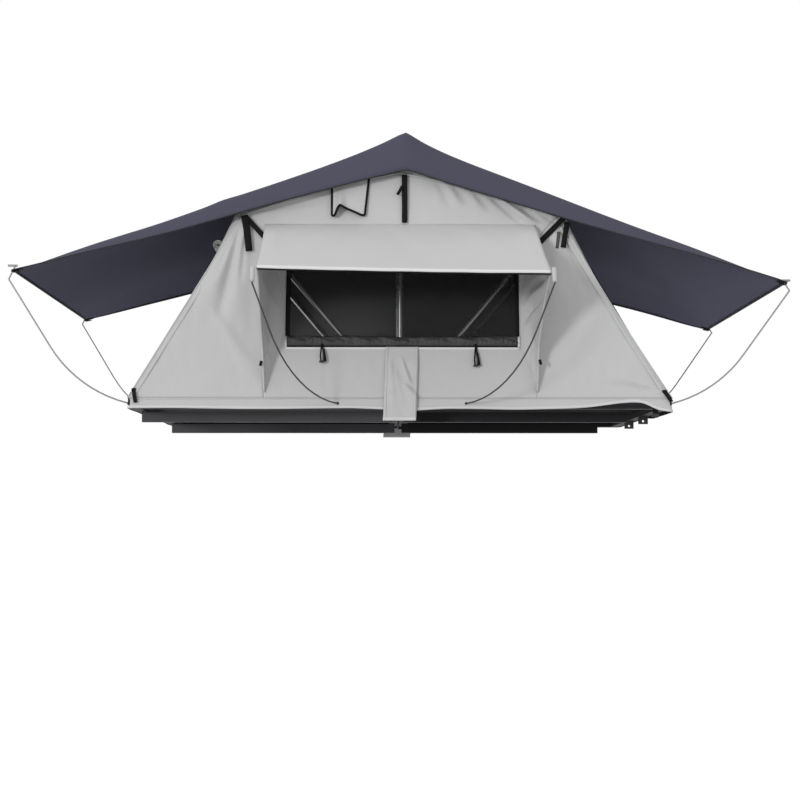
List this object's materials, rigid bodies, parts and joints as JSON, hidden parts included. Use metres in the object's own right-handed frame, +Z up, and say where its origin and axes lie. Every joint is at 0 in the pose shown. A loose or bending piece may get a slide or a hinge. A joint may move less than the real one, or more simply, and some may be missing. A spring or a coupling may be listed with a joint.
{
  "type": "roof top tent",
  "caption": "Fold-out soft-shell roof top tent on a hinged base, with canvas walls over bent bows, a fly on spring rods and a window awning.",
  "frame": {"origin": "middle of the rack slots on the underside of the fixed half's rails", "axes": "+X from the fixed half towards the folding half, -Y towards the window side, +Z up"},
  "size_m": [3.4441, 1.9685, 1.3212],
  "materials": {
    "alloy_black": "satin black anodised aluminium",
    "panel_black": "dark textured sandwich board",
    "mattress_cover": "woven cover over foam",
    "canvas_grey": "light grey woven ripstop canvas",
    "fly_charcoal": "coated charcoal fly cloth",
    "mesh_black": "fine black insect mesh",
    "webbing_black": "black webbing",
    "tube_alloy": "satin aluminium tube",
    "plastic_black": "moulded black plastic",
    "zinc_steel": "zinc plated steel",
    "spring_steel": "drawn spring steel"
  },
  "bodies": {
    "base_fixed": {"base_frame_left": "alloy_black", "floor_panel_left": "panel_black", "mattress_left": "mattress_cover", "mount_rails": "alloy_black", "edge_trim_left": "alloy_black", "skirt_left": "canvas_grey", "hinge_leaves_left": "zinc_steel", "hinge_pins": "zinc_steel", "bow_brackets_left": "zinc_steel", "bow_pins_left": "zinc_steel", "rod_sockets_left": "plastic_black", "hinge_bolts_left": "zinc_steel", "corner_tabs_left": "webbing_black", "end_wall_left": "canvas_grey", "door_roll": "canvas_grey", "door_ties": "webbing_black", "hinge_flap_front": "canvas_grey", "hinge_flap_back": "canvas_grey"},
    "base_folding": {"base_frame_right": "alloy_black", "floor_panel_right": "panel_black", "mattress_right": "mattress_cover", "stiffener_rails": "alloy_black", "edge_trim_right": "alloy_black", "skirt_right": "canvas_grey", "hinge_leaves_right": "zinc_steel", "bow_brackets_right": "zinc_steel", "bow_pins_right": "zinc_steel", "rod_sockets_right": "plastic_black", "hinge_bolts_right": "zinc_steel", "corner_tabs_right": "webbing_black", "ladder_brackets": "zinc_steel", "closing_strap": "webbing_black", "closing_buckle": "plastic_black", "end_wall_right": "canvas_grey"},
    "bow_left": {"bow_left_tube": "tube_alloy", "bow_left_feet": "plastic_black"},
    "bow_mid": {"bow_mid_tube": "tube_alloy", "bow_mid_feet": "plastic_black", "ridge_posts": "plastic_black", "ridge_pole": "tube_alloy", "front_wall": "canvas_grey", "back_wall": "canvas_grey", "tent_roof": "canvas_grey", "fly_sheet": "fly_charcoal", "fly_corner_tabs": "webbing_black", "fly_straps": "webbing_black", "window_screen": "mesh_black", "screen_gather": "mesh_black", "window_toggles": "webbing_black", "vent_flap": "canvas_grey"},
    "bow_right": {"bow_right_tube": "tube_alloy", "bow_right_feet": "plastic_black"},
    "awning": {"awning_panel": "canvas_grey", "awning_gussets": "canvas_grey"},
    "rod_front_left": {"fly_rod_front_left": "spring_steel"},
    "rod_back_left": {"fly_rod_back_left": "spring_steel"},
    "rod_front_right": {"fly_rod_front_right": "spring_steel"},
    "rod_back_right": {"fly_rod_back_right": "spring_steel"},
    "rod_awning_left": {"awning_rod_left_side": "spring_steel"},
    "rod_awning_right": {"awning_rod_right_side": "spring_steel"}
  },
  "joints": [
    {"name": "base_fold", "type": "hinge", "parent": "base_fixed", "child": "base_folding", "pos_m": [0.6, 0, 0.19], "axis": [0, -1, 0], "range_deg": [0, 180], "deforming": ["front_wall", "back_wall", "tent_roof", "fly_sheet", "fly_corner_tabs", "fly_straps", "window_screen", "screen_gather", "window_toggles", "vent_flap", "end_wall_left", "end_wall_right", "door_roll", "door_ties", "hinge_flap_front", "hinge_flap_back", "awning_panel", "awning_gussets"]},
    {"name": "bow_left_swing", "type": "hinge", "parent": "base_fixed", "child": "bow_left", "pos_m": [0.555, 0, 0.113], "axis": [0, -1, 0], "range_deg": [0, 47]},
    {"name": "bow_mid_swing", "type": "hinge", "parent": "base_fixed", "child": "bow_mid", "pos_m": [0.6, 0, 0.19], "axis": [0, -1, 0], "range_deg": [0, 90]},
    {"name": "bow_right_swing", "type": "hinge", "parent": "base_folding", "child": "bow_right", "pos_m": [0.645, 0, 0.113], "axis": [0, -1, 0], "range_deg": [-47, 0]},
    {"name": "awning_drop", "type": "hinge", "parent": "bow_mid", "child": "awning", "pos_m": [0.6, -0.7014, 0.869], "axis": [1, 0, 0], "range_deg": [0, 59]},
    {"name": "fly_rod_front_left_pull", "type": "slide", "parent": "base_fixed", "child": "rod_front_left", "axis": [-0.9609, -0.1347, 0.2419], "range_m": [0, 0.045]},
    {"name": "fly_rod_back_left_pull", "type": "slide", "parent": "base_fixed", "child": "rod_back_left", "axis": [-0.9609, 0.1347, 0.2419], "range_m": [0, 0.045]},
    {"name": "fly_rod_front_right_pull", "type": "slide", "parent": "base_folding", "child": "rod_front_right", "axis": [0.9609, -0.1347, 0.2419], "range_m": [0, 0.045]},
    {"name": "fly_rod_back_right_pull", "type": "slide", "parent": "base_folding", "child": "rod_back_right", "axis": [0.9609, 0.1347, 0.2419], "range_m": [0, 0.045]},
    {"name": "awning_rod_left_pull", "type": "slide", "parent": "base_fixed", "child": "rod_awning_left", "axis": [-0.551, -0.8338, 0.0349], "range_m": [0, 0.045]},
    {"name": "awning_rod_right_pull", "type": "slide", "parent": "base_folding", "child": "rod_awning_right", "axis": [0.5521, -0.833, 0.0349], "range_m": [0, 0.045]}
  ],
  "couplings": [
    {"joint": "bow_left_swing", "follows": "base_fold", "ratio": 0.26111},
    {"joint": "bow_mid_swing", "follows": "base_fold", "ratio": 0.5},
    {"joint": "bow_right_swing", "follows": "base_fold", "ratio": -0.26111},
    {"joint": "awning_drop", "follows": "base_fold", "ratio": 0.32777}
  ]
}
